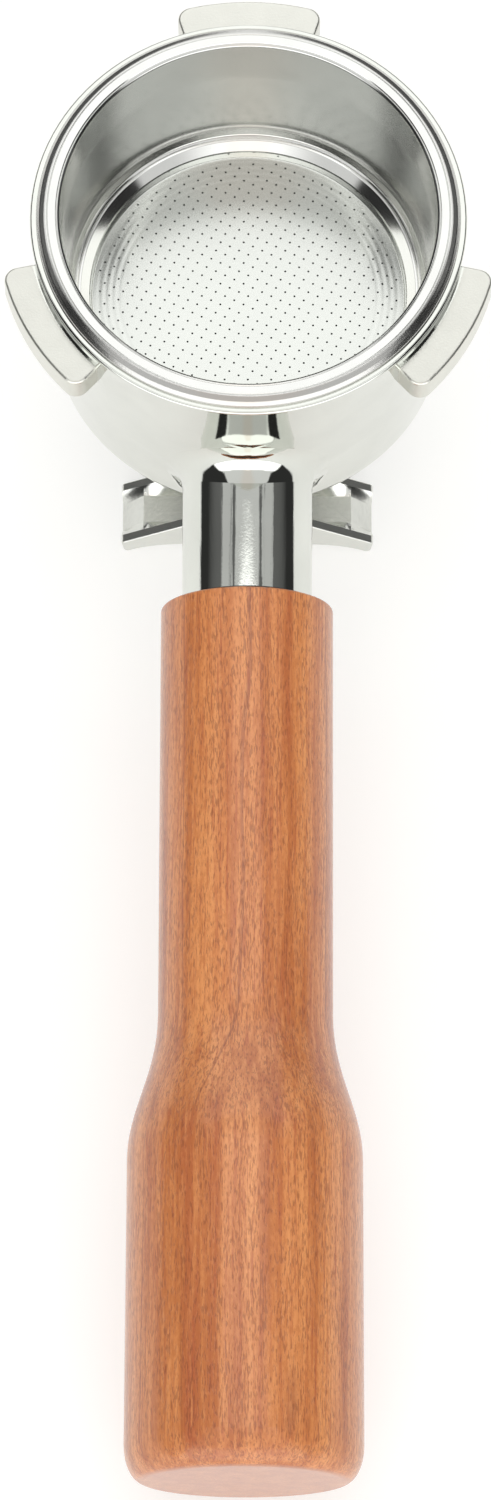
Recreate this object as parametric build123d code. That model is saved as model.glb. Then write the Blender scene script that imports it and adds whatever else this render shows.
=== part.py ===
from build123d import *
import os
from math import atan2, cos, degrees, hypot, radians, sin

# Three-lug 54 mm-class portafilter with a turned wooden handle and an open double spout.
# Millimetres. The origin is the centre of the basket flange's top plane, +Z is up along
# the cup's axis, and the handle points along -Y. The brewing lugs are at 90, 210 and 330 deg.

# --- driving dimensions ---------------------------------------------------------------
RIM_R = 30.85            # cup outer radius just under the basket flange
RIM_TOP_Z = -1.3         # face that the basket flange sits on
RIM_EDGE = 0.4           # rounding of the cup's top outer edge
CUP_LOW_R = 28.5         # outer radius where the bottom corner starts
CUP_BOTTOM_Z = -41.0
CUP_CORNER = 6.0
BORE_R = 28.0            # straight bore that takes the basket
BORE_STRAIGHT_Z = -14.0
CAVITY_LOW_R = 26.6
CAVITY_FLOOR_Z = -37.0
CAVITY_CORNER = 3.0

LUG_R = 35.6             # radius over the lugs
LUG_TOP_Z = -3.0
LUG_BOTTOM_Z = -7.6
LUG_HALF_ANGLE = 17.5
LUG_ANGLES = (90, 210, 330)
LUG_CORNER = 2.0
LUG_EDGE = 0.45
LUG_ROOT_R = 28.8        # the lugs start inside the cup's wall

BASKET_FLANGE_R = 30.0
BASKET_MOUTH_R = 26.6    # inner radius of the straight mouth
BASKET_STRAIGHT_Z = -8.5
BASKET_WALL = 0.6
BASKET_MOUTH_EDGE = 0.6  # rounding from the crown into the mouth
BASKET_CROWN_R = 28.3    # outer radius of the flange's flat crown
BASKET_CURL = (29.45, -0.42)   # a point half way round the flange's curled edge, (r, z)
BASKET_LOW_R = 25.0      # inner radius at the foot of the wall
BASKET_LOW_Z = -23.7
BASKET_STEP_R = 22.9     # inner edge of the gently sloping ring round the floor
BASKET_STEP_Z = -24.6
BASKET_FLOOR_R = 22.6
BASKET_FLOOR_Z = -26.2
BASKET_CORNER_DROP = 0.3 # the outer corners lie this much lower than the inner ones
HOLE_R = 0.15
HOLE_PITCH = 1.5
HOLE_FIELD_R = 21.95
HOLE_LATTICE_TURN = -degrees(atan2(1, 2))

SPRING_WIRE_R = 0.6
SPRING_RING_R = 28.0     # radius of the wire's centre line
SPRING_Z = -9.8
SPRING_GAP_ANGLE = 36.0
GROOVE_R = 28.65
GROOVE_HALF_HEIGHT = 0.9

HANDLE_TILT = 6.7        # the handle falls away from the cup
HANDLE_START_Y = -48.36
HANDLE_START_Z = -29.54
HANDLE_LENGTH = 124.5
GRIP_R = 12.24
GRIP_LENGTH = 59.0
SWELL_END = 80.0
SWELL_R = 16.4
SWELL_MID_R = 14.55      # radius part of the way up the swell
SWELL_MID = 70.7
BUTT_R = 16.5
BUTT_EDGE = 5.0          # length of the rounded butt edge
BUTT_EDGE_DEPTH = 2.7    # how far that edge comes in
FRONT_EDGE = 0.4

NECK_R = 9.28
NECK_FILLET = 4.0
NECK_BURIED = 22.0       # length of the neck blank, from inside the cup's wall
WASHER_T = 0.6
WASHER_R = 10.4
WASHER_BORE_R = 5.3

STUD_R = 5.0             # M10 tie stud
STUD_IN_NECK = 15.0
STUD_IN_HANDLE = 34.0
STUD_CHAMFER = 0.8
STUD_SOCKET_DEPTH = 17.0
INSERT_R = 7.0
INSERT_LENGTH = 30.0
INSERT_SETBACK = 3.0
INSERT_BARBS = 6
BARB_DEPTH = 0.45
BARB_GAP = 1.6           # width of the groove between two barbs
HANDLE_BORE_DEPTH = 38.0
HANDLE_CLEARANCE_R = 5.6

OUTLET_Y = -19.2         # the outlet is off-centre, towards the handle
OUTLET_BOSS_R = 8.8
OUTLET_BOSS_Z = -45.0
OUTLET_R = 4.0
THREAD_R = 6.58          # G 1/4 thread, major radius
NIPPLE_TOP_Z = -38.6
NIPPLE_BOTTOM_Z = -52.0
THREAD_RUNOUT = 0.2      # the threaded socket is this much deeper than the nipple
THREAD_GAP = 0.04
NIPPLE_CHAMFER = 0.6
SEAL_T = 1.0
SEAL_SETBACK = 0.3
SEAL_BORE_R = 6.75

SPOUT_HALF_LENGTH = 18.7
SPOUT_HALF_WIDTH = 4.9
SPOUT_HUB_Z = OUTLET_BOSS_Z - SEAL_T
SPOUT_RIM_SLOPE = 0.64   # fall of the trough's rims per mm outwards
SPOUT_RIM_Z = -54.0      # height of the rims at SPOUT_RIM_X
SPOUT_RIM_X = 9.45
SPOUT_FLOOR_Z = -58.3
SPOUT_RAMP_X = 15.4
SPOUT_LIP_Z = -61.3
SPOUT_FLOOR_HALF = 2.1
SPOUT_RIM_HALF = 3.6
SPOUT_SOCKET_Z = -53.0
SPOUT_HUB_HALF = 5.0     # the rims are level over the hub, to this distance from its axis
SPOUT_TIP_ROUND = 0.7
SPOUT_RIM_ROUND = 0.35
SPOUT_UNDERSIDE = ((0, -60.2), (9.5, -60.4), (14.0, -61.1), (18.3, -63.4))

# --- derived --------------------------------------------------------------------------
TILT = radians(HANDLE_TILT)
HANDLE_DIR = Vector(0, -cos(TILT), -sin(TILT))
HANDLE_FRONT = Vector(0, HANDLE_START_Y, HANDLE_START_Z)


def handle_plane(along):
    """Plane square to the handle's axis, `along` mm behind the wood's front face."""
    return Plane(origin=HANDLE_FRONT + HANDLE_DIR * along, x_dir=(1, 0, 0), z_dir=HANDLE_DIR)


def rod(plane, radius, length):
    """Cylinder that starts on a plane and runs along its normal."""
    return extrude(plane * Circle(radius), amount=length)


def upright(radius, bottom, top, y=0.0):
    """Vertical cylinder between two heights."""
    return rod(Plane(origin=(0, y, bottom)), radius, top - bottom)


def turned(outline):
    """Solid of revolution about Z from an (r, z) outline given as a closed wire of edges."""
    return revolve(Plane.XZ * make_face(outline), Axis.Z)


def cup_blank():
    """Tapered outer form of the cup with a rounded bottom corner."""
    corner_z = CUP_BOTTOM_Z + CUP_CORNER
    foot_r = CUP_LOW_R - CUP_CORNER
    edge_r = RIM_R - RIM_EDGE
    outline = [
        Line((0, RIM_TOP_Z), (edge_r, RIM_TOP_Z)),
        CenterArc((edge_r, RIM_TOP_Z - RIM_EDGE), RIM_EDGE, 0, 90),
        Line((RIM_R, RIM_TOP_Z - RIM_EDGE), (CUP_LOW_R, corner_z)),
        CenterArc((foot_r, corner_z), CUP_CORNER, 270, 90),
        Line((foot_r, CUP_BOTTOM_Z), (0, CUP_BOTTOM_Z)),
        Line((0, CUP_BOTTOM_Z), (0, RIM_TOP_Z)),
    ]
    return turned(outline)


def cup_cavity():
    """Inside of the cup: straight bore, taper, rounded corner and flat floor."""
    corner_z = CAVITY_FLOOR_Z + CAVITY_CORNER
    foot_r = CAVITY_LOW_R - CAVITY_CORNER
    above = 1.0
    outline = [
        Line((0, above), (BORE_R, above)),
        Line((BORE_R, above), (BORE_R, BORE_STRAIGHT_Z)),
        Line((BORE_R, BORE_STRAIGHT_Z), (CAVITY_LOW_R, corner_z)),
        CenterArc((foot_r, corner_z), CAVITY_CORNER, 270, 90),
        Line((foot_r, CAVITY_FLOOR_Z), (0, CAVITY_FLOOR_Z)),
        Line((0, CAVITY_FLOOR_Z), (0, above)),
    ]
    return turned(outline)


def spring_groove():
    """Ring groove in the bore for the retaining spring."""
    low = SPRING_Z - GROOVE_HALF_HEIGHT
    high = SPRING_Z + GROOVE_HALF_HEIGHT
    inner = BORE_R - 1.0
    return turned(Polyline((inner, low), (GROOVE_R, low), (GROOVE_R, high), (inner, high), close=True))


def axis_distance(edge):
    """Distance of an edge's centre from the cup's axis."""
    return hypot(edge.center().X, edge.center().Y)


def is_level(edge):
    """True for an edge that lies in one horizontal plane."""
    return edge.bounding_box().size.Z < 0.01


def lug(angle):
    """One brewing lug: a rounded block of an annulus, buried in the cup's wall."""
    half = radians(LUG_HALF_ANGLE)
    inner = [(LUG_ROOT_R * cos(a), LUG_ROOT_R * sin(a)) for a in (-half, half)]
    outer = [(LUG_R * cos(a), LUG_R * sin(a)) for a in (-half, half)]
    plan = make_face([
        ThreePointArc(inner[0], (LUG_ROOT_R, 0), inner[1]),
        Line(inner[1], outer[1]),
        ThreePointArc(outer[1], (LUG_R, 0), outer[0]),
        Line(outer[0], inner[0]),
    ])
    block = extrude(Plane(origin=(0, 0, LUG_BOTTOM_Z)) * plan, amount=LUG_TOP_Z - LUG_BOTTOM_Z)
    corners = [e for e in block.edges().filter_by(Axis.Z) if axis_distance(e) > RIM_R]
    block = fillet(corners, LUG_CORNER)
    block = fillet([e for e in block.edges() if is_level(e) and axis_distance(e) > RIM_R], LUG_EDGE)
    return Rot(0, 0, angle) * block


def neck_blank():
    """Round neck from inside the cup's wall to the handle washer."""
    return rod(handle_plane(-NECK_BURIED - WASHER_T), NECK_R, NECK_BURIED)


def portafilter_body():
    """One casting: cup, lugs, neck and outlet boss."""
    body = cup_blank() + neck_blank()
    root = [e for e in body.edges() if e.geom_type not in (GeomType.LINE, GeomType.CIRCLE)]
    body = fillet(root, NECK_FILLET)
    body += upright(OUTLET_BOSS_R, OUTLET_BOSS_Z, CAVITY_FLOOR_Z - 1, OUTLET_Y)
    for angle in LUG_ANGLES:
        body += lug(angle)
    body -= cup_cavity()
    body -= spring_groove()
    body -= upright(OUTLET_R, OUTLET_BOSS_Z - 1, CAVITY_FLOOR_Z + 1, OUTLET_Y)
    body -= upright(THREAD_R, OUTLET_BOSS_Z - 1, NIPPLE_TOP_Z + THREAD_RUNOUT, OUTLET_Y)
    body -= rod(handle_plane(-WASHER_T - STUD_SOCKET_DEPTH), STUD_R, STUD_SOCKET_DEPTH + 1)
    return body


def filter_basket():
    """Pressed basket: rolled flange, straight mouth, taper, sloping ring, perforated floor."""
    crown_in = BASKET_MOUTH_R + BASKET_MOUTH_EDGE
    floor_bottom = BASKET_FLOOR_Z - BASKET_WALL
    outer_mouth = BASKET_MOUTH_R + BASKET_WALL
    outer_low = BASKET_LOW_R + BASKET_WALL
    outer_low_z = BASKET_LOW_Z - BASKET_CORNER_DROP
    outer_step = BASKET_STEP_R + BASKET_WALL
    outer_step_z = BASKET_STEP_Z - BASKET_WALL
    outer_floor = BASKET_FLOOR_R + BASKET_WALL
    outline = [
        Line((0, BASKET_FLOOR_Z), (BASKET_FLOOR_R, BASKET_FLOOR_Z)),
        Line((BASKET_FLOOR_R, BASKET_FLOOR_Z), (BASKET_STEP_R, BASKET_STEP_Z)),
        Line((BASKET_STEP_R, BASKET_STEP_Z), (BASKET_LOW_R, BASKET_LOW_Z)),
        Line((BASKET_LOW_R, BASKET_LOW_Z), (BASKET_MOUTH_R, BASKET_STRAIGHT_Z)),
        Line((BASKET_MOUTH_R, BASKET_STRAIGHT_Z), (BASKET_MOUTH_R, -BASKET_MOUTH_EDGE)),
        CenterArc((crown_in, -BASKET_MOUTH_EDGE), BASKET_MOUTH_EDGE, 90, 90),
        Line((crown_in, 0), (BASKET_CROWN_R, 0)),
        ThreePointArc((BASKET_CROWN_R, 0), BASKET_CURL, (BASKET_FLANGE_R, RIM_TOP_Z)),
        Line((BASKET_FLANGE_R, RIM_TOP_Z), (outer_mouth, RIM_TOP_Z)),
        Line((outer_mouth, RIM_TOP_Z), (outer_mouth, BASKET_STRAIGHT_Z)),
        Line((outer_mouth, BASKET_STRAIGHT_Z), (outer_low, outer_low_z)),
        Line((outer_low, outer_low_z), (outer_step, outer_step_z)),
        Line((outer_step, outer_step_z), (outer_floor, floor_bottom)),
        Line((outer_floor, floor_bottom), (0, floor_bottom)),
        Line((0, floor_bottom), (0, BASKET_FLOOR_Z)),
    ]
    basket = turned(outline)
    drill = upright(HOLE_R, floor_bottom - 1, BASKET_FLOOR_Z + 1)
    reach = int(HOLE_FIELD_R / HOLE_PITCH) + 1
    drills = []
    for i in range(-reach, reach + 1):
        for j in range(-reach, reach + 1):
            if hypot(i, j) * HOLE_PITCH <= HOLE_FIELD_R:
                drills.append(Rot(0, 0, HOLE_LATTICE_TURN) * Pos(i * HOLE_PITCH, j * HOLE_PITCH) * drill)
    return basket - drills


def basket_spring():
    """Open ring of spring wire that lies in the groove and grips the basket."""
    start = -90 + SPRING_GAP_ANGLE / 2
    path = Plane(origin=(0, 0, SPRING_Z)) * CenterArc((0, 0), SPRING_RING_R, start, 360 - SPRING_GAP_ANGLE)
    section = Plane(origin=path @ 0, z_dir=path % 0) * Circle(SPRING_WIRE_R)
    return sweep(section, path=path)


def outlet_nipple():
    """Threaded tube that joins the cup's outlet to the spout."""
    tube = upright(THREAD_R - THREAD_GAP, NIPPLE_BOTTOM_Z, NIPPLE_TOP_Z, OUTLET_Y)
    rims = [e for e in tube.edges() if e.geom_type == GeomType.CIRCLE]
    tube = chamfer(rims, NIPPLE_CHAMFER)
    return tube - upright(OUTLET_R, NIPPLE_BOTTOM_Z - 1, NIPPLE_TOP_Z + 1, OUTLET_Y)


def spout_seal():
    """Flat ring that seals the spout against the outlet boss and sets its clocking."""
    ring = upright(OUTLET_BOSS_R - SEAL_SETBACK, SPOUT_HUB_Z, OUTLET_BOSS_Z, OUTLET_Y)
    return ring - upright(SEAL_BORE_R, SPOUT_HUB_Z - 1, OUTLET_BOSS_Z + 1, OUTLET_Y)


def spout_rim_z(x):
    """Height of the trough's rims at a distance x from the outlet's axis."""
    return SPOUT_RIM_Z - SPOUT_RIM_SLOPE * (x - SPOUT_RIM_X)


def spout_arm():
    """Half of the trough on the +X side, solid, before its channel is cut."""
    hub_z = spout_rim_z(SPOUT_HUB_HALF)
    tip_z = spout_rim_z(SPOUT_HALF_LENGTH)
    outline = [
        Line((0, hub_z), (SPOUT_HUB_HALF, hub_z)),
        Line((SPOUT_HUB_HALF, hub_z), (SPOUT_HALF_LENGTH, tip_z)),
        Line((SPOUT_HALF_LENGTH, tip_z), SPOUT_UNDERSIDE[-1]),
        Spline(*reversed(SPOUT_UNDERSIDE)),
        Line(SPOUT_UNDERSIDE[0], (0, hub_z)),
    ]
    side = Plane.XZ.offset(-OUTLET_Y - SPOUT_HALF_WIDTH) * make_face(outline)
    arm = extrude(side, amount=2 * SPOUT_HALF_WIDTH)
    tips = [e for e in arm.edges().filter_by(Axis.Y) if e.center().X > SPOUT_RAMP_X]
    arm = fillet(tips, SPOUT_TIP_ROUND)
    rims = [e for e in arm.edges().filter_by(GeomType.LINE) if e.center().Z > tip_z
            and e.center().X > SPOUT_HUB_HALF and e.bounding_box().size.Y < SPOUT_HALF_WIDTH]
    return fillet(rims, SPOUT_RIM_ROUND)


def channel_section(x, floor_z):
    """Cross-section of the channel at x: flat floor, leaning walls, open top."""
    clear_of_rims = 4.0
    rim_z = spout_rim_z(max(x, OUTLET_BOSS_R))
    open_z = rim_z + clear_of_rims if x >= OUTLET_BOSS_R else SPOUT_SOCKET_Z
    points = [
        (-SPOUT_FLOOR_HALF, floor_z), (SPOUT_FLOOR_HALF, floor_z),
        (SPOUT_RIM_HALF, rim_z), (SPOUT_RIM_HALF, open_z),
        (-SPOUT_RIM_HALF, open_z), (-SPOUT_RIM_HALF, rim_z),
    ]
    plane = Plane(origin=(x, OUTLET_Y, 0), x_dir=(0, 1, 0), z_dir=(1, 0, 0))
    return plane * make_face(Polyline(*points, close=True))


def spout_channel():
    """Channel of the +X arm: level floor under the hub, then a ramp that opens at the tip."""
    beyond = 1.5
    lip_x = SPOUT_HALF_LENGTH - 0.5
    ramp_slope = (SPOUT_FLOOR_Z - SPOUT_LIP_Z) / (lip_x - SPOUT_RAMP_X)
    end_x = SPOUT_HALF_LENGTH + beyond
    end_z = SPOUT_FLOOR_Z - ramp_slope * (end_x - SPOUT_RAMP_X)
    under_hub = extrude(channel_section(0, SPOUT_FLOOR_Z), amount=OUTLET_BOSS_R)
    level = loft([channel_section(OUTLET_BOSS_R, SPOUT_FLOOR_Z),
                  channel_section(SPOUT_RAMP_X, SPOUT_FLOOR_Z)], ruled=True)
    ramp = loft([channel_section(SPOUT_RAMP_X, SPOUT_FLOOR_Z),
                 channel_section(end_x, end_z)], ruled=True)
    return under_hub, level, ramp


def double_spout():
    """One casting: a threaded hub with a trough that pours to both sides."""
    half = spout_arm()
    for piece in spout_channel():
        half -= piece
    hub = upright(OUTLET_BOSS_R, SPOUT_UNDERSIDE[0][1], SPOUT_HUB_Z, OUTLET_Y)
    waterway = spout_channel()[0]
    spout = half + mirror(half, Plane.YZ) + hub
    spout -= waterway
    spout -= mirror(waterway, Plane.YZ)
    spout -= upright(THREAD_R, SPOUT_SOCKET_Z, SPOUT_HUB_Z + 1, OUTLET_Y)
    return spout


def handle_washer():
    """Thin black washer between the neck and the wood."""
    ring = rod(handle_plane(-WASHER_T), WASHER_R, WASHER_T)
    return ring - rod(handle_plane(-WASHER_T - 1), WASHER_BORE_R, WASHER_T + 2)


def handle_stud():
    """M10 stud from the neck's socket into the handle's insert."""
    stud = rod(handle_plane(-WASHER_T - STUD_IN_NECK), STUD_R - THREAD_GAP,
               STUD_IN_NECK + WASHER_T + STUD_IN_HANDLE)
    return chamfer(stud.edges().filter_by(GeomType.CIRCLE), STUD_CHAMFER)


def handle_insert():
    """Brass bush with barbs, pressed into the wood, threaded for the stud."""
    bush = rod(handle_plane(INSERT_SETBACK), INSERT_R - BARB_DEPTH, INSERT_LENGTH)
    pitch = INSERT_LENGTH / INSERT_BARBS
    for i in range(INSERT_BARBS):
        barb_start = INSERT_SETBACK + i * pitch + BARB_GAP / 2
        bush += rod(handle_plane(barb_start), INSERT_R, pitch - BARB_GAP)
    return bush - rod(handle_plane(INSERT_SETBACK - 1), STUD_R, INSERT_LENGTH + 2)


def wooden_handle():
    """Turned handle: slim grip, smooth swell, rounded butt, bored for the insert."""
    crest = HANDLE_LENGTH - BUTT_EDGE
    end_r = BUTT_R - BUTT_EDGE_DEPTH
    along = (0, 1)
    outline = [
        Line((0, 0), (GRIP_R - FRONT_EDGE, 0)),
        CenterArc((GRIP_R - FRONT_EDGE, FRONT_EDGE), FRONT_EDGE, 270, 90),
        Line((GRIP_R, FRONT_EDGE), (GRIP_R, GRIP_LENGTH)),
        Spline((GRIP_R, GRIP_LENGTH), (SWELL_MID_R, SWELL_MID), (SWELL_R, SWELL_END),
               tangents=(along, along)),
        Line((SWELL_R, SWELL_END), (BUTT_R, crest)),
        EllipticalCenterArc((end_r, crest), BUTT_EDGE_DEPTH, BUTT_EDGE, 0, arc_size=90),
        Line((end_r, HANDLE_LENGTH), (0, HANDLE_LENGTH)),
        Line((0, HANDLE_LENGTH), (0, 0)),
    ]
    wood = Location(handle_plane(0)) * turned(outline)
    wood -= rod(handle_plane(-1), HANDLE_CLEARANCE_R, HANDLE_BORE_DEPTH + 1)
    return wood - rod(handle_plane(INSERT_SETBACK), INSERT_R, INSERT_LENGTH)


def main():
    makers = (portafilter_body, filter_basket, basket_spring, outlet_nipple, spout_seal,
              double_spout, handle_washer, handle_stud, handle_insert, wooden_handle)
    os.makedirs("parts", exist_ok=True)
    for make in makers:
        export_step(make(), f"parts/{make.__name__}.step")


main()
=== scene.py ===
from math import atan2, ceil, cos, hypot, pi, radians, sin, tan

import bpy
from mathutils import Matrix, Vector
from mathutils.geometry import delaunay_2d_cdt


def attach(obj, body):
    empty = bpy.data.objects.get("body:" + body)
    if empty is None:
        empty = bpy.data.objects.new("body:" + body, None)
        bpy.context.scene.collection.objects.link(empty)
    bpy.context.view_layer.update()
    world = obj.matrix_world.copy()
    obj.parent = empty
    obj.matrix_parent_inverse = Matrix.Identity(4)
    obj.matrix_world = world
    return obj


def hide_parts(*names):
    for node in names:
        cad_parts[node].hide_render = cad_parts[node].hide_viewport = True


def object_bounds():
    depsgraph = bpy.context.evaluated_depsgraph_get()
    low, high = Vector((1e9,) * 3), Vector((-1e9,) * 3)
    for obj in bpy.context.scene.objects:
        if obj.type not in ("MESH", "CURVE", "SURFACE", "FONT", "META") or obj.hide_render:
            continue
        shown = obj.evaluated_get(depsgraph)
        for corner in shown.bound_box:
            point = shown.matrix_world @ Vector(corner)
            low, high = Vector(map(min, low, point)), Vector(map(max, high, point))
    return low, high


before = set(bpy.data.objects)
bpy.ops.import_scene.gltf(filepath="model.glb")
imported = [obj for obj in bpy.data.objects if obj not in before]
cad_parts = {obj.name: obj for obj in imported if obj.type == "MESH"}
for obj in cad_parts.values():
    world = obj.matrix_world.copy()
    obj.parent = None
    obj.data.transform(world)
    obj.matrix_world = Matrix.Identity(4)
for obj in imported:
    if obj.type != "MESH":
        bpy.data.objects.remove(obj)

CAD_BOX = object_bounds()
MM = 0.001

# --- camera: above the handle, looking down at the basket --------------------------------
LOOK_AT = Vector((-0.00014, -0.0819, 0.0))
CAMERA_DISTANCE = 0.8207
CAMERA_ELEVATION = radians(67.63)
CAMERA_ROLL = radians(0.213)
CAMERA_LENS = 145.2
SENSOR = 36.0

# --- handle axis, as in the CAD ----------------------------------------------------------
HANDLE_TILT = radians(6.7)
HANDLE_FRONT = Vector((0.0, -48.36, -29.54)) * MM

# --- filter basket, millimetres ----------------------------------------------------------
TURN_STEPS = 256             # segments of everything turned
PLATE_R = 22.35              # edge of the perforated plate
PLATE_TOP_Z = -26.2
PLATE_BOTTOM_Z = -26.8
PLATE_DISH = 0.10            # how far the middle of the plate lies below its edge
RIDGE_IN_R = 18.3            # faint pressed ridges run round the plate's border
RIDGE_OUT_R = 22.1
RIDGE_PITCH = 0.95
RIDGE_HEIGHT = 0.005
ROWS_PER_RIDGE = 8           # rows of mesh points that shape one ridge
HOLE_R = 0.15
HOLE_PITCH = 1.5
HOLE_FIELD_R = 21.95         # no hole's centre lies outside this radius
HOLE_SIDES = 12
LATTICE_TURN = -atan2(1, 2)
CLEAR_OF_HOLE = 1.25         # ridge points keep this many hole radii from a hole's centre
IN_HOLE = 0.94               # a triangle centred within this many hole radii lies in the hole
MERGE_DISTANCE = 1e-7        # points of the plate closer than this count as one

BASKET_OUT_R = 27.2          # outside of the wall below the flange
BASKET_MOUTH_R = 26.6        # inside of the wall at the mouth
BEND_Z = -8.5                # the wall starts to taper here
FLANGE_R = 30.0
FLANGE_UNDER_Z = -1.3

# Outline of the basket as (radius, height, corner radius), solid on the left of the path.
OUTSIDE = ((PLATE_R, PLATE_BOTTOM_Z, 0), (23.2, PLATE_BOTTOM_Z, 0.3), (23.5, -25.2, 0.3),
           (25.6, -24.0, 0.6), (BASKET_OUT_R, BEND_Z, 20.0), (BASKET_OUT_R, FLANGE_UNDER_Z, 0.3))
CURLED_EDGE = ((FLANGE_R, FLANGE_UNDER_Z, 0.12), (29.92, -0.86, 0.6), (29.45, -0.38, 0.8),
               (28.75, -0.04, 1.2))
OUTER_GROOVE = ((28.5, -0.01, 0.08), (28.42, -0.13, 0.05), (28.32, 0.0, 0.06))
INNER_GROOVE = ((27.25, 0.0, 0.05), (27.12, -0.13, 0.04), (26.98, -0.03, 0.08))
INNER_WALL = ((BASKET_MOUTH_R, -0.30, 0.35), (BASKET_MOUTH_R, BEND_Z, 30.0), (25.6, -22.9, 0.6))
RING_CREASES = ((25.08, -23.66, 0.08), (24.98, -23.76, 0.05), (24.86, -23.66, 0.1),
                (24.64, -23.8, 0.06), (24.56, -23.92, 0.04), (24.46, -23.88, 0.06))
RING = ((24.20, -23.93, 0.3), (22.95, -24.85, 0.12))
STEP_TO_PLATE = ((22.84, -25.1, 0.08), (22.62, PLATE_TOP_Z, 0.15), (PLATE_R, PLATE_TOP_Z, 0))
BASKET_OUTLINE = (OUTSIDE + CURLED_EDGE + OUTER_GROOVE + INNER_GROOVE + INNER_WALL
                  + RING_CREASES + RING + STEP_TO_PLATE)

# --- where one finish gives way to another, millimetres ----------------------------------
LUG_IN_R = 31.2              # the lugs' satin lies outside this radius
LUG_LOW_Z = -9.0             # and above this height
NECK_Y = -34.5               # the neck's ripples start here
CURL_IN_R = 28.6             # the flange's grainy edge lies outside this radius
CURL_LOW_Z = -1.2            # and above this height
CROWN_Z = -0.5               # the flange's top face is higher than this
WALL_TOP_Z = -0.4            # the basket's wall is lower than this
WALL_IN_R = 25.1             # and outside this radius
MATT_PLATE_Z = -26.1         # the matt plate is lower than this
MATT_PLATE_R = 22.6          # and inside this radius
CHANNEL_Y = -19.2            # middle of the spout's channel
CHANNEL_HALF = 3.55          # half the channel's width
CHANNEL_FLOOR_Z = -57.6      # the channel's floor is lower than this
BUTT_Y = -124.3              # the sawn end, measured along the handle from its front

# --- growth rings of the wood, millimetres -----------------------------------------------
PITH_X = -13.0
PITH_Z = -21.0
RING_PITCH = 5.95

# --- levels of the surroundings ----------------------------------------------------------
FRONT_LEVEL = 2.0
FRONT_DIM_LEVEL = 0.79
WARM_SHARE = 0.95            # what is left of the front's light in its warm patch
OVERHEAD_LEVEL = 1.7
PATCH_LEVEL = 0.55
WING_LEVEL = 0.46
BEHIND_LEVEL = 1.3
TAIL_LEVEL = 1.2
MURK_LEVEL = 0.12
BASE_LEVEL = 0.035
GROUND_LEVEL = 0.90
BACKDROP_LEVEL = 0.8         # the least that the camera sees behind the object
LEAST_HEIGHT = 0.001         # of a direction, so that nothing is divided by zero


def linear(red, green, blue):
    """Scene colour of an 8-bit display colour."""
    def channel(value):
        share = value / 255
        return share / 12.92 if share <= 0.04045 else ((share + 0.055) / 1.055) ** 2.4
    return (channel(red), channel(green), channel(blue), 1.0)


# --- colours -----------------------------------------------------------------------------
CASTING = (0.690, 0.705, 0.660, 1)
SATIN_CASTING = (0.70, 0.702, 0.645, 1)
BASKET_STEEL = (0.725, 0.730, 0.705, 1)
STREAK_STEEL = (0.63, 0.63, 0.61, 1)
PLATE_STEEL = (0.725, 0.745, 0.705, 1)
GRAINY_STEEL = (0.50, 0.495, 0.475, 1)
SPOUT_METAL = (0.73, 0.74, 0.70, 1)
# rough-cast channel floor; its near-white tone is partly painted light that brightens it in the cup's
# shadow
SPOUT_FLOOR_PAINTED_LIGHT = (0.97, 0.975, 0.93, 1)
PLAIN_STEEL = (0.45, 0.45, 0.45, 1)
NIPPLE_STEEL = (0.62, 0.62, 0.59, 1)
BRASS = (0.75, 0.56, 0.26, 1)
SEAL_PLASTIC = (0.82, 0.82, 0.79, 1)
WASHER_RUBBER = (0.03, 0.03, 0.03, 1)
TABLE_DARK = (0.49, 0.49, 0.485, 1)
TABLE_PALE = (0.50, 0.50, 0.495, 1)
TABLE_GLOW = (1.0, 1.0, 0.98, 1)
DAYLIGHT = (1, 1, 1, 1)
WARM_LIGHT = (1.0, 0.94, 0.90, 1)
WOOD_LIGHT = linear(223, 149, 90)
WOOD_MID = linear(206, 129, 72)
WOOD_DEEP = linear(184, 106, 53)
WOOD_RED = linear(172, 88, 50)
WOOD_LINE = linear(128, 66, 48)
WOOD_PORE = linear(116, 56, 30)
WOOD_END = linear(176, 122, 96)


# --- meshes ------------------------------------------------------------------------------
class Shell:
    """Vertices and faces in millimetres, with a normal for each corner of each face."""

    def __init__(self):
        self.points = []
        self.faces = []
        self.normals = []

    def point(self, x, y, z):
        self.points.append((x * MM, y * MM, z * MM))
        return len(self.points) - 1

    def face(self, corners, normals):
        self.faces.append(corners)
        self.normals.extend(normals)

    def turn(self, outline):
        """Revolve (r, z, normal_r, normal_z) points about Z; gives the point rows, one for each."""
        angles = [2 * pi * k / TURN_STEPS for k in range(TURN_STEPS)]
        spokes = [(cos(angle), sin(angle)) for angle in angles]
        rows = [[self.point(r * c, r * s, z) for c, s in spokes] for r, z, _, _ in outline]
        bends = [[(nr * c, nr * s, nz) for c, s in spokes] for _, _, nr, nz in outline]
        for i in range(len(outline) - 1):
            for j in range(TURN_STEPS):
                k = (j + 1) % TURN_STEPS
                self.face((rows[i][j], rows[i][k], rows[i + 1][k], rows[i + 1][j]),
                          (bends[i][j], bends[i][k], bends[i + 1][k], bends[i + 1][j]))
        return rows

    def build(self, name):
        mesh = bpy.data.meshes.new(name)
        mesh.from_pydata(self.points, [], self.faces)
        mesh.polygons.foreach_set("use_smooth", [True] * len(self.faces))
        mesh.normals_split_custom_set(self.normals)
        piece = bpy.data.objects.new(name, mesh)
        bpy.context.scene.collection.objects.link(piece)
        return piece


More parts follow.
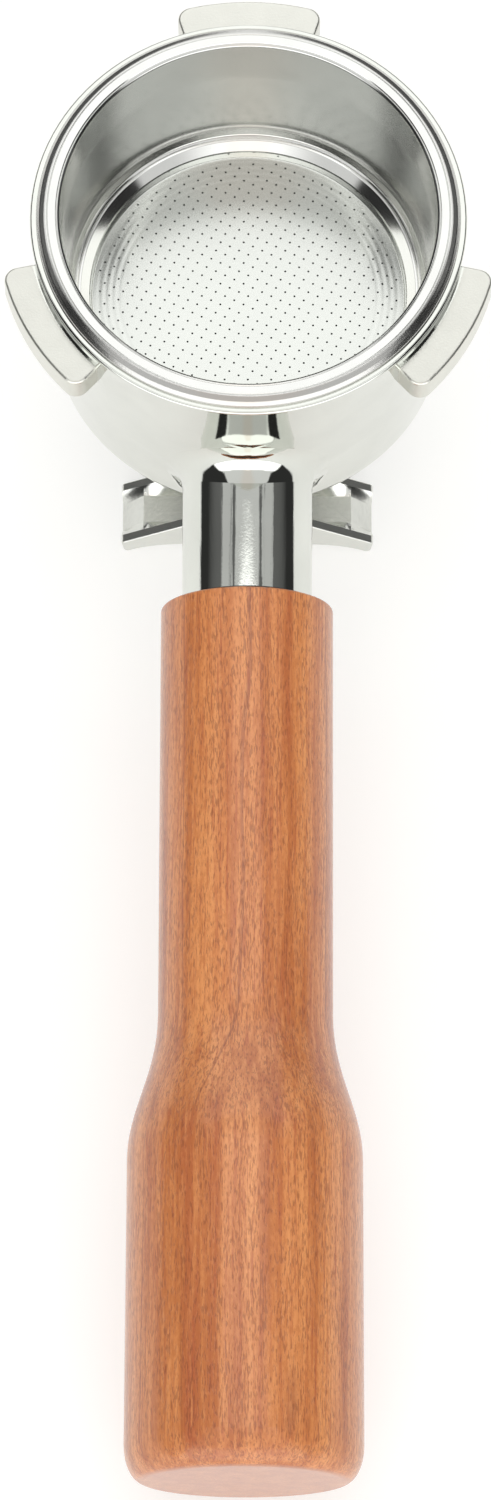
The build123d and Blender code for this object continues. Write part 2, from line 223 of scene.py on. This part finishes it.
def rounded(corners, step_angle=radians(15)):
    """Open outline with its corners rounded, as (r, z, normal_r, normal_z) points."""
    points = []
    for i, (r, z, radius) in enumerate(corners):
        here = Vector((r, z))
        before = (here - Vector(corners[i - 1][:2])).normalized() if i else None
        after = (Vector(corners[i + 1][:2]) - here).normalized() if i + 1 < len(corners) else None
        before = before or after
        after = after or before
        turn = atan2(before.x * after.y - before.y * after.x, before.dot(after))
        count = max(1, ceil(abs(turn) / step_angle)) if radius else 0
        reach = radius * tan(abs(turn) / 2)
        side = 1 if turn > 0 else -1
        centre = here - before * reach + Vector((-before.y, before.x)) * side * radius
        for k in range(count + 1):
            share = turn * k / count if count else 0.0
            way = Vector((before.x * cos(share) - before.y * sin(share),
                          before.x * sin(share) + before.y * cos(share)))
            out = Vector((way.y, -way.x))
            place = centre + out * side * radius if count else here
            points.append((place.x, place.y, out.x, out.y))
    return points


def plate_height(radius):
    """Height of the perforated plate's top, and its slope, at a radius."""
    height = PLATE_TOP_Z - PLATE_DISH * (1 - (radius / PLATE_R) ** 2)
    slope = 2 * PLATE_DISH * radius / PLATE_R ** 2
    if RIDGE_IN_R < radius < RIDGE_OUT_R:
        phase = 2 * pi * (radius - RIDGE_IN_R) / RIDGE_PITCH
        height -= RIDGE_HEIGHT * (1 - cos(phase))
        slope -= RIDGE_HEIGHT * 2 * pi / RIDGE_PITCH * sin(phase)
    return height, slope


def on_circle(radius, angle):
    return Vector((cos(angle), sin(angle))) * radius


class HoleLattice:
    """The square lattice of round holes in the plate."""

    def __init__(self):
        self.turned = Matrix.Rotation(LATTICE_TURN, 2)
        reach = int(HOLE_FIELD_R / HOLE_PITCH) + 1
        span = range(-reach, reach + 1)
        self.centres = {(i, j): self.turned @ Vector((i, j)) * HOLE_PITCH
                        for i in span for j in span
                        if hypot(i, j) * HOLE_PITCH <= HOLE_FIELD_R}

    def distance(self, place):
        """Distance to the hole of the lattice cell around a place, or PLATE_R if it has none."""
        cell = self.turned.transposed() @ place / HOLE_PITCH
        centre = self.centres.get((round(cell.x), round(cell.y)))
        return (place - centre).length if centre is not None else PLATE_R


def plate_layout(rim, lattice):
    """Points of the plate seen from above, and loops of point numbers: the rim, then each hole."""
    flat = list(rim)
    loops = [list(range(len(flat)))]
    for centre in lattice.centres.values():
        loops.append([len(flat) + k for k in range(HOLE_SIDES)])
        flat.extend([centre + on_circle(HOLE_R, 2 * pi * k / HOLE_SIDES) for k in range(HOLE_SIDES)])
    rows = round((RIDGE_OUT_R - RIDGE_IN_R) / RIDGE_PITCH * ROWS_PER_RIDGE)
    for row in range(rows + 1):
        radius = RIDGE_IN_R + (RIDGE_OUT_R - RIDGE_IN_R) * row / rows
        stagger = 0.5 * (row % 2)
        for k in range(TURN_STEPS):
            place = on_circle(radius, 2 * pi * (k + stagger) / TURN_STEPS)
            if lattice.distance(place) > HOLE_R * CLEAR_OF_HOLE:
                flat.append(place)
    return flat, loops


def perforated_plate(shell, rim_top, rim_bottom):
    """Two skins pierced by the holes, joined to the basket's wall along the rim's point rows."""
    lattice = HoleLattice()
    flat, loops = plate_layout([Vector(shell.points[k][:2]) / MM for k in rim_top], lattice)
    edges = [(loop[k], loop[(k + 1) % len(loop)]) for loop in loops for k in range(len(loop))]
    places, _, triangles, sources, _, _ = delaunay_2d_cdt(flat, edges, [], 0, MERGE_DISTANCE)

    rim_pairs = dict(zip(loops[0], zip(rim_top, rim_bottom)))
    skins, lean = [], []
    new_index = {}
    for index, place in enumerate(places):
        height, slope = plate_height(place.length)
        for source in sources[index]:
            new_index[source] = index
        pair = next((rim_pairs[s] for s in sources[index] if s in rim_pairs), None)
        if pair is None:
            low = height - PLATE_TOP_Z + PLATE_BOTTOM_Z
            pair = (shell.point(place.x, place.y, height), shell.point(place.x, place.y, low))
        skins.append(pair)
        away = place.normalized() if place.length > 0 else Vector((0, 0))
        lean.append(Vector((-slope * away.x, -slope * away.y, 1)).normalized())
    top, bottom = zip(*skins)

    for a, b, c in triangles:
        middle = (places[a] + places[b] + places[c]) / 3
        if lattice.distance(middle) > HOLE_R * IN_HOLE:
            shell.face((top[a], top[b], top[c]), (lean[a], lean[b], lean[c]))
            shell.face((bottom[c], bottom[b], bottom[a]), (-lean[c], -lean[b], -lean[a]))
    for loop in loops[1:]:
        centre = sum((flat[k] for k in loop), Vector((0, 0))) / HOLE_SIDES
        for k in range(HOLE_SIDES):
            a, b = new_index[loop[k]], new_index[loop[(k + 1) % HOLE_SIDES]]
            inward = [(*((centre - places[v]).normalized()), 0.0) for v in (a, b)]
            shell.face((top[a], top[b], bottom[b], bottom[a]),
                       (inward[0], inward[1], inward[1], inward[0]))


def filter_basket(finish):
    """The pressed basket: curled flange, brushed wall, sloping ring and a perforated plate."""
    shell = Shell()
    rows = shell.turn(rounded(BASKET_OUTLINE))
    perforated_plate(shell, rows[-1], rows[0])
    piece = shell.build("pressed_basket")
    piece.data.materials.append(finish)
    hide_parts("filter_basket")
    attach(piece, "basket")


# --- material building blocks ------------------------------------------------------------
class Shader:
    """A node tree that is filled one call at a time."""

    MIX_FACTOR, MIX_A, MIX_B, MIX_RESULT = 0, 6, 7, 2    # sockets of a Mix node set to colour

    def __init__(self, tree):
        self.tree = tree
        tree.nodes.clear()

    def node(self, kind, inputs=None, **settings):
        made = self.tree.nodes.new("ShaderNode" + kind)
        for key, value in settings.items():
            setattr(made, key, value)
        for key, value in (inputs or {}).items():
            if isinstance(value, bpy.types.NodeSocket):
                self.tree.links.new(value, made.inputs[key])
            else:
                made.inputs[key].default_value = value
        return made

    def math(self, operation, a, b=0.0, c=0.0):
        return self.node("Math", {0: a, 1: b, 2: c}, operation=operation).outputs[0]

    def product(self, first, *others):
        for other in others:
            first = self.math("MULTIPLY", first, other)
        return first

    def total(self, first, *others):
        for other in others:
            first = self.math("ADD", first, other)
        return first

    def rest(self, share):
        """What a share leaves of 1."""
        return self.math("SUBTRACT", 1.0, share)

    def vector(self, operation, a, b):
        return self.node("VectorMath", {0: a, 1: b}, operation=operation).outputs[0]

    def scaled(self, vector, scale):
        return self.node("VectorMath", {0: vector, "Scale": scale}, operation="SCALE").outputs[0]

    def ramp(self, factor, stops):
        made = self.node("ValToRGB", {"Fac": factor})
        band = made.color_ramp
        while len(band.elements) < len(stops):
            band.elements.new(0.5)
        for element, (place, colour) in zip(band.elements, stops):
            element.position = place
            element.color = colour
        return made.outputs["Color"]

    def mix(self, factor, a, b):
        """Colour a where the factor is 0, b where it is 1."""
        inputs = {self.MIX_FACTOR: factor, self.MIX_A: a, self.MIX_B: b}
        return self.node("Mix", inputs, data_type="RGBA").outputs[self.MIX_RESULT]

    def noise(self, vector, scale, detail=2.0, roughness=0.5, output="Fac"):
        return self.node("TexNoise", {"Vector": vector, "Scale": scale, "Detail": detail,
                                      "Roughness": roughness}).outputs[output]

    def bump(self, height, strength, depth, normal=None):
        """Normal roughened by a height pattern, whose depth is in millimetres."""
        inputs = {"Height": height, "Strength": strength, "Distance": depth * MM}
        if normal is not None:
            inputs["Normal"] = normal
        return self.node("Bump", inputs).outputs["Normal"]


def new_material(name):
    material = bpy.data.materials.new(name)
    material.use_nodes = True
    return material, Shader(material.node_tree)


def finish_material(sh, inputs):
    surface = sh.node("BsdfPrincipled", inputs)
    sh.node("OutputMaterial", {"Surface": surface.outputs["BSDF"]})


def finish_metal(sh, tone, roughness, normal):
    finish_material(sh, {"Base Color": tone, "Metallic": 1.0, "Roughness": roughness,
                         "Normal": normal})


def object_place(sh):
    """Object coordinates in millimetres."""
    return sh.scaled(sh.node("TexCoord").outputs["Object"], 1 / MM)


def split(sh, vector):
    return sh.node("SeparateXYZ", {0: vector}).outputs


def soft_range(sh, value, start, end):
    """0 at the start, 1 at the end, with a smooth passage between."""
    return sh.node("MapRange", {"Value": value, "From Min": start, "From Max": end},
                   interpolation_type="SMOOTHSTEP").outputs[0]


def over(sh, value, level, soft):
    """1 where the value is over the level, 0 where it is under, with a soft passage between."""
    return soft_range(sh, value, level - soft, level + soft)


def under(sh, value, level, soft):
    """1 where the value is under the level, 0 where it is over, with a soft passage between."""
    return soft_range(sh, value, level + soft, level - soft)


def blend_value(sh, mask, low, high):
    """low where the mask is 0, high where it is 1."""
    return sh.node("MapRange", {"Value": mask, "To Min": low, "To Max": high}).outputs[0]


def distance(sh, across, along):
    """Length of a way made of two parts at right angles."""
    squares = sh.total(sh.math("POWER", across, 2.0), sh.math("POWER", along, 2.0))
    return sh.math("SQRT", squares)


def tinted(sh, place, colour, scale=0.12, depth=0.05):
    """The colour, with soft clouds a little darker."""
    cloud = sh.noise(place, scale, detail=3.0)
    darker = tuple(c * (1 - depth) for c in colour[:3]) + (1,)
    return sh.ramp(cloud, [(0.35, darker), (0.65, colour)])


def brushed(sh, axes, radius, slow_scale=1.6, streaks_per_mm=16.0):
    """Fine streaks that run round the upright axis, as turning leaves them."""
    bearing = sh.node("CombineXYZ", {0: sh.math("DIVIDE", axes[0], radius),
                                     1: sh.math("DIVIDE", axes[1], radius), 2: 0.0}).outputs[0]
    level = sh.product(sh.total(axes[2], radius), streaks_per_mm)
    lift = sh.node("CombineXYZ", {2: level}).outputs[0]
    track = sh.vector("ADD", sh.scaled(bearing, slow_scale), lift)
    return sh.noise(track, 1.0, detail=4.0, roughness=0.6)


# --- the metals --------------------------------------------------------------------------
def body_finish():
    """Polished casting with faint ripples along the neck; the lugs are satin and slightly warm."""
    material, sh = new_material("polished_casting")
    place = object_place(sh)
    axes = split(sh, place)
    radius = distance(sh, axes[0], axes[1])
    satin = sh.product(over(sh, radius, LUG_IN_R, 0.15), over(sh, axes[2], LUG_LOW_Z, 0.3))
    tone = sh.mix(satin, tinted(sh, place, CASTING),
                  tinted(sh, place, SATIN_CASTING, scale=0.3, depth=0.03))
    roughness = blend_value(sh, satin, 0.035, 0.30)

    grain = sh.noise(place, 3.0, detail=4.0, roughness=0.6)
    normal = sh.bump(grain, blend_value(sh, satin, 0.02, 0.22), depth=0.12)
    drawn_out = sh.node("Mapping", {"Vector": place, "Scale": (0.55, 0.06, 0.55)}).outputs[0]
    ripple = sh.product(sh.noise(drawn_out, 1.0), under(sh, axes[1], NECK_Y, 1.5))
    normal = sh.bump(ripple, 1.0, depth=0.022, normal=normal)
    finish_metal(sh, tone, roughness, normal)
    return material


def basket_finish():
    """Brushed stainless steel; the flange's outer edge is grainy and darker, the plate matt."""
    material, sh = new_material("basket_steel")
    place = object_place(sh)
    axes = split(sh, place)
    radius = distance(sh, axes[0], axes[1])
    curl = sh.product(over(sh, radius, CURL_IN_R, 0.1), over(sh, axes[2], CURL_LOW_Z, 0.1))
    plate = sh.product(under(sh, axes[2], MATT_PLATE_Z, 0.05), under(sh, radius, MATT_PLATE_R, 0.1))
    crown = over(sh, axes[2], CROWN_Z, 0.2)
    wall = sh.product(under(sh, axes[2], WALL_TOP_Z, 0.1), over(sh, radius, WALL_IN_R, 0.05))

    streaks = brushed(sh, axes, radius)
    tone = sh.mix(sh.product(streaks, 0.25), tinted(sh, place, BASKET_STEEL), STREAK_STEEL)
    tone = sh.mix(plate, tone, tinted(sh, place, PLATE_STEEL, depth=0.02))
    tone = sh.mix(sh.product(curl, 0.7), tone, GRAINY_STEEL)

    roughness = blend_value(sh, plate, 0.09, 0.24)
    for zone, more in ((curl, 0.05), (wall, 0.07), (crown, 0.02)):
        roughness = sh.total(roughness, sh.product(zone, more))

    grain = sh.noise(place, 4.5, detail=4.0, roughness=0.65)
    relief = sh.total(sh.product(curl, grain), sh.product(streaks, 0.06))
    finish_metal(sh, tone, roughness, sh.bump(relief, 0.5, depth=0.02))
    return material


def spout_finish():
    """Casting with polished rims and sides and a rough-cast channel floor, whose near-white tone is
    partly painted light against the cup's shadow.
    """
    material, sh = new_material("spout_casting")
    place = object_place(sh)
    axes = split(sh, place)
    facing = split(sh, sh.node("NewGeometry").outputs["True Normal"])
    off_middle = sh.math("ABSOLUTE", sh.math("SUBTRACT", axes[1], CHANNEL_Y))
    inside = under(sh, off_middle, CHANNEL_HALF, 0.05)
    low = under(sh, axes[2], CHANNEL_FLOOR_Z, 0.2)
    floor = sh.product(inside, low, over(sh, facing[2], 0.9, 0.05))
    channel = sh.product(inside, over(sh, facing[2], 0.1, 0.1))

    # the floor's pale tone is partly painted light, lifting it out of the cup's shadow
    tone = sh.mix(floor, tinted(sh, place, SPOUT_METAL),
                  tinted(sh, place, SPOUT_FLOOR_PAINTED_LIGHT, scale=4.0, depth=0.05))
    roughness = sh.total(blend_value(sh, channel, 0.28, 0.20), sh.product(floor, 0.06))
    coarse = sh.noise(place, 2.2, detail=5.0, roughness=0.65)
    fine = sh.noise(place, 1.2, detail=3.0)
    relief = sh.total(sh.product(coarse, floor), sh.product(fine, 0.08))
    finish_metal(sh, tone, roughness, sh.bump(relief, 0.8, depth=0.3))
    return material


def metal(name, colour, roughness, spread=0.1):
    """Plain machined metal with clouds of tone and gloss and a fine grain."""
    material, sh = new_material(name)
    place = object_place(sh)
    cloud = sh.product(sh.noise(place, 0.8, detail=3.0), spread)
    normal = sh.bump(sh.noise(place, 2.0, detail=3.0), 0.1, depth=0.1)
    finish_metal(sh, tinted(sh, place, colour, scale=0.5, depth=0.15),
                 sh.total(cloud, roughness - spread / 2), normal)
    return material


def plain(name, colour, roughness):
    """Moulded or cut sheet material with a faint mottle."""
    material, sh = new_material(name)
    place = object_place(sh)
    normal = sh.bump(sh.noise(place, 4.0, detail=3.0), 0.15, depth=0.1)
    finish_material(sh, {"Base Color": tinted(sh, place, colour, scale=0.8, depth=0.2),
                         "Roughness": roughness, "Normal": normal})
    return material


# --- the wood ----------------------------------------------------------------------------
def stretched(sh, vector, across, along, shift=0.0):
    """Coordinates for marks that are long in the handle's direction."""
    return sh.node("Mapping", {"Vector": vector, "Scale": (across, along, across),
                               "Location": (shift, shift * 3, shift * 7)}).outputs[0]


def marks(sh, grain, across, along, detail, roughness, shift=0.0):
    """Noise whose marks are long in the handle's direction; the shift gives each its own pattern."""
    return sh.noise(stretched(sh, grain, across, along, shift), 1.0, detail, roughness)


def handle_place(sh):
    """Millimetres from the handle's front, with Y along its axis."""
    raw = sh.node("TexCoord").outputs["Object"]
    return sh.node("Mapping", {"Vector": raw, "Location": HANDLE_FRONT,
                               "Rotation": (HANDLE_TILT, 0, 0), "Scale": (MM, MM, MM)},
                   vector_type="TEXTURE").outputs[0]


def growth_lines(sh, grain, bands):
    """Thin dark lines where the growth rings come to the surface, outside the reddest bands."""
    axes = split(sh, grain)
    from_pith = distance(sh, sh.math("SUBTRACT", axes[0], PITH_X),
                         sh.math("SUBTRACT", axes[2], PITH_Z))
    ring = sh.math("FRACT", sh.math("DIVIDE", from_pith, RING_PITCH))
    return sh.product(over(sh, ring, 0.972, 0.014), over(sh, bands, 0.40, 0.08))


def wood():
    """Reddish orange hardwood under a satin varnish: bands, fibres, growth lines and open pores."""
    material, sh = new_material("handle_wood")
    place = handle_place(sh)
    drift = sh.noise(stretched(sh, place, 0.10, 0.022), 1.0, output="Color")
    drift = sh.vector("MULTIPLY", sh.vector("SUBTRACT", drift, (0.5, 0.5, 0.5)), (2.0, 0.0, 2.0))
    grain = sh.vector("ADD", place, drift)

    bands = marks(sh, grain, 0.30, 0.010, 3.0, 0.55)
    fibre = marks(sh, grain, 2.6, 0.07, 4.0, 0.65, shift=3.0)
    pale = marks(sh, grain, 1.3, 0.05, 3.0, 0.6, shift=9.0)
    mottle = marks(sh, grain, 2.2, 0.9, 3.0, 0.6, shift=11.0)
    dash = marks(sh, grain, 5.0, 0.75, 2.0, 0.5, shift=5.0)
    patch = marks(sh, grain, 0.45, 0.06, 2.0, 0.5, shift=7.0)
    pores = over(sh, sh.total(dash, sh.product(patch, 0.26)), 0.712, 0.05)
    sawn = under(sh, split(sh, place)[1], BUTT_Y, 0.15)

    tone = sh.ramp(bands, [(0.30, WOOD_RED), (0.42, WOOD_DEEP), (0.52, WOOD_MID), (0.66, WOOD_LIGHT)])
    for mask, strength, colour in ((over(sh, fibre, 0.60, 0.16), 1.0, WOOD_RED),
                                   (over(sh, pale, 0.58, 0.12), 0.55, WOOD_LIGHT),
                                   (growth_lines(sh, grain, bands), 0.5, WOOD_LINE),
                                   (over(sh, mottle, 0.55, 0.12), 0.50, WOOD_DEEP),
                                   (under(sh, mottle, 0.42, 0.10), 0.22, WOOD_LIGHT),
                                   (pores, 0.46, WOOD_PORE),
                                   (sawn, 0.6, WOOD_END)):
        tone = sh.mix(sh.product(mask, strength), tone, colour)

    relief = sh.math("SUBTRACT", sh.product(fibre, 0.3), pores)
    normal = sh.bump(relief, 0.25, depth=0.08)
    finish_material(sh, {"Base Color": tone, "Roughness": 0.5, "Normal": normal,
                         "Specular IOR Level": 0.5, "Coat Weight": 0.8, "Coat Roughness": 0.16,
                         "Coat IOR": 1.5, "Coat Normal": normal})
    return material


# --- camera, light and table -------------------------------------------------------------
def camera():
    back = Vector((0, -cos(CAMERA_ELEVATION), sin(CAMERA_ELEVATION)))
    right = Vector((1, 0, 0))
    up = back.cross(right)
    turned_right = right * cos(CAMERA_ROLL) + up * sin(CAMERA_ROLL)
    turned_up = up * cos(CAMERA_ROLL) - right * sin(CAMERA_ROLL)
    axes = Matrix((turned_right, turned_up, back)).transposed()
    data = bpy.data.cameras.new("camera")
    data.lens = CAMERA_LENS
    data.sensor_width = SENSOR
    data.sensor_fit = "AUTO"
    data.clip_start = 0.01
    data.clip_end = 20
    made = bpy.data.objects.new("camera", data)
    made.matrix_world = Matrix.Translation(LOOK_AT + back * CAMERA_DISTANCE) @ axes.to_4x4()
    bpy.context.scene.collection.objects.link(made)
    bpy.context.scene.camera = made


def studio():
    """Surroundings, tuned for the photo's view: a bright front with a dimmer band and a warm
    patch in it, soft boxes overhead and behind, a dark room to the sides and a bright ground.

    A direction is told by its lean for one unit of height: side is sideways, along is along +Y.
    An edge is the place where a box starts or ends, and how soft it is there.
    """
    world = bpy.data.worlds.new("studio")
    bpy.context.scene.world = world
    world.use_nodes = True
    sh = Shader(world.node_tree)
    way = sh.node("TexCoord").outputs["Generated"]
    axes = split(sh, way)
    height = sh.math("MAXIMUM", axes[2], LEAST_HEIGHT)
    side = sh.math("ABSOLUTE", sh.math("DIVIDE", axes[0], height))
    along = sh.math("DIVIDE", axes[1], height)
    overhead_edge = (0.191, 0.0005)
    patch_edge = (0.42, 0.03)
    behind_edge = (1.3, 0.15)

    def within(value, start, end):
        return sh.product(over(sh, value, *start), under(sh, value, *end))

    def box(side_edge, start, end):
        return sh.product(under(sh, side, *side_edge), within(along, start, end))

    spread = sh.math("MULTIPLY_ADD", sh.math("MINIMUM", along, 0.0), -1.15, 0.55)
    reach = sh.math("DIVIDE", side, spread)
    front = sh.product(under(sh, reach, 1.0, 0.08), under(sh, along, -0.04, 0.04))
    dim = within(along, (-0.95, 0.12), (-0.10, 0.06))
    warm = box((0.24, 0.10), (-2.6, 0.3), (-0.06, 0.06))
    undimmed_warm = sh.product(warm, sh.rest(dim))

    bulge = sh.math("MULTIPLY_ADD", sh.math("POWER", side, 2.0), 0.03, along)
    overhead = sh.product(under(sh, side, 0.40, 0.03), within(bulge, (0.0, 0.03), overhead_edge))
    patch = box((0.37, 0.03), overhead_edge, patch_edge)
    jitter = sh.math("SUBTRACT", sh.noise(way, 22.0, detail=4.0), 0.5)
    ragged = sh.math("MULTIPLY_ADD", jitter, 0.8, side)
    wings = sh.product(within(ragged, (0.47, 0.05), (1.0, 0.06)),
                       within(along, overhead_edge, patch_edge))
    behind = box((1.0, 0.12), patch_edge, behind_edge)
    tail = box((0.5, 0.15), behind_edge, (50.0, 1.0))
    murk = sh.product(over(sh, along, *overhead_edge), under(sh, side, 2.2, 1.2))
    ground = under(sh, axes[2], 0.02, 0.03)

    level = sh.product(front, blend_value(sh, dim, FRONT_LEVEL, FRONT_DIM_LEVEL),
                       blend_value(sh, undimmed_warm, 1.0, WARM_SHARE))
    for strength, shape in ((OVERHEAD_LEVEL, overhead), (PATCH_LEVEL, patch), (WING_LEVEL, wings),
                            (BEHIND_LEVEL, behind), (TAIL_LEVEL, tail), (MURK_LEVEL, murk)):
        level = sh.total(level, sh.product(shape, strength))
    level = sh.product(sh.total(level, BASE_LEVEL), sh.rest(ground))
    level = sh.total(level, sh.product(ground, GROUND_LEVEL))
    seen = sh.node("LightPath").outputs["Is Camera Ray"]
    level = sh.math("MAXIMUM", level, sh.product(seen, BACKDROP_LEVEL))
    colour = sh.mix(warm, DAYLIGHT, WARM_LIGHT)
    sky = sh.node("Background", {"Color": colour, "Strength": level})
    sh.node("OutputWorld", {"Surface": sky.outputs[0]})


def soft_box():
    """A broad lamp overhead that fills the matt surfaces and stays out of the mirrors."""
    lamp = bpy.data.lights.new("soft_box", "AREA")
    lamp.size = 1.0
    lamp.energy = 3.2
    made = bpy.data.objects.new("soft_box", lamp)
    made.location = (0, -0.2, 1.2)
    made.visible_glossy = False
    bpy.context.scene.collection.objects.link(made)


def table():
    """Pale table at the height of the CAD's lowest point; it glows, to read as white."""
    low = CAD_BOX[0][2]
    bpy.ops.mesh.primitive_plane_add(size=6.0, location=(0, 0, low))
    floor = bpy.context.object
    floor.name = "table"
    material, sh = new_material("table")
    place = sh.node("TexCoord").outputs["Object"]
    tone = sh.ramp(sh.noise(place, 3.0), [(0.3, TABLE_DARK), (0.7, TABLE_PALE)])
    finish_material(sh, {"Base Color": tone, "Roughness": 0.8, "Emission Color": TABLE_GLOW,
                         "Emission Strength": 0.57})
    floor.data.materials.append(material)


def dress():
    """Materials of the CAD nodes that are shown as they are."""
    finishes = {"portafilter_body": body_finish(),
                "double_spout": spout_finish(),
                "basket_spring": metal("spring_steel", PLAIN_STEEL, 0.25),
                "outlet_nipple": metal("nipple_steel", NIPPLE_STEEL, 0.22),
                "spout_seal": plain("seal_plastic", SEAL_PLASTIC, 0.5),
                "handle_washer": plain("washer_rubber", WASHER_RUBBER, 0.7),
                "handle_stud": metal("stud_steel", PLAIN_STEEL, 0.3),
                "handle_insert": metal("insert_brass", BRASS, 0.25),
                "wooden_handle": wood()}
    for name, finish in finishes.items():
        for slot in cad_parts[name].material_slots:
            slot.material = finish


camera()
studio()
soft_box()
table()
dress()
filter_basket(basket_finish())
bpy.context.scene.view_settings.view_transform = "Standard"
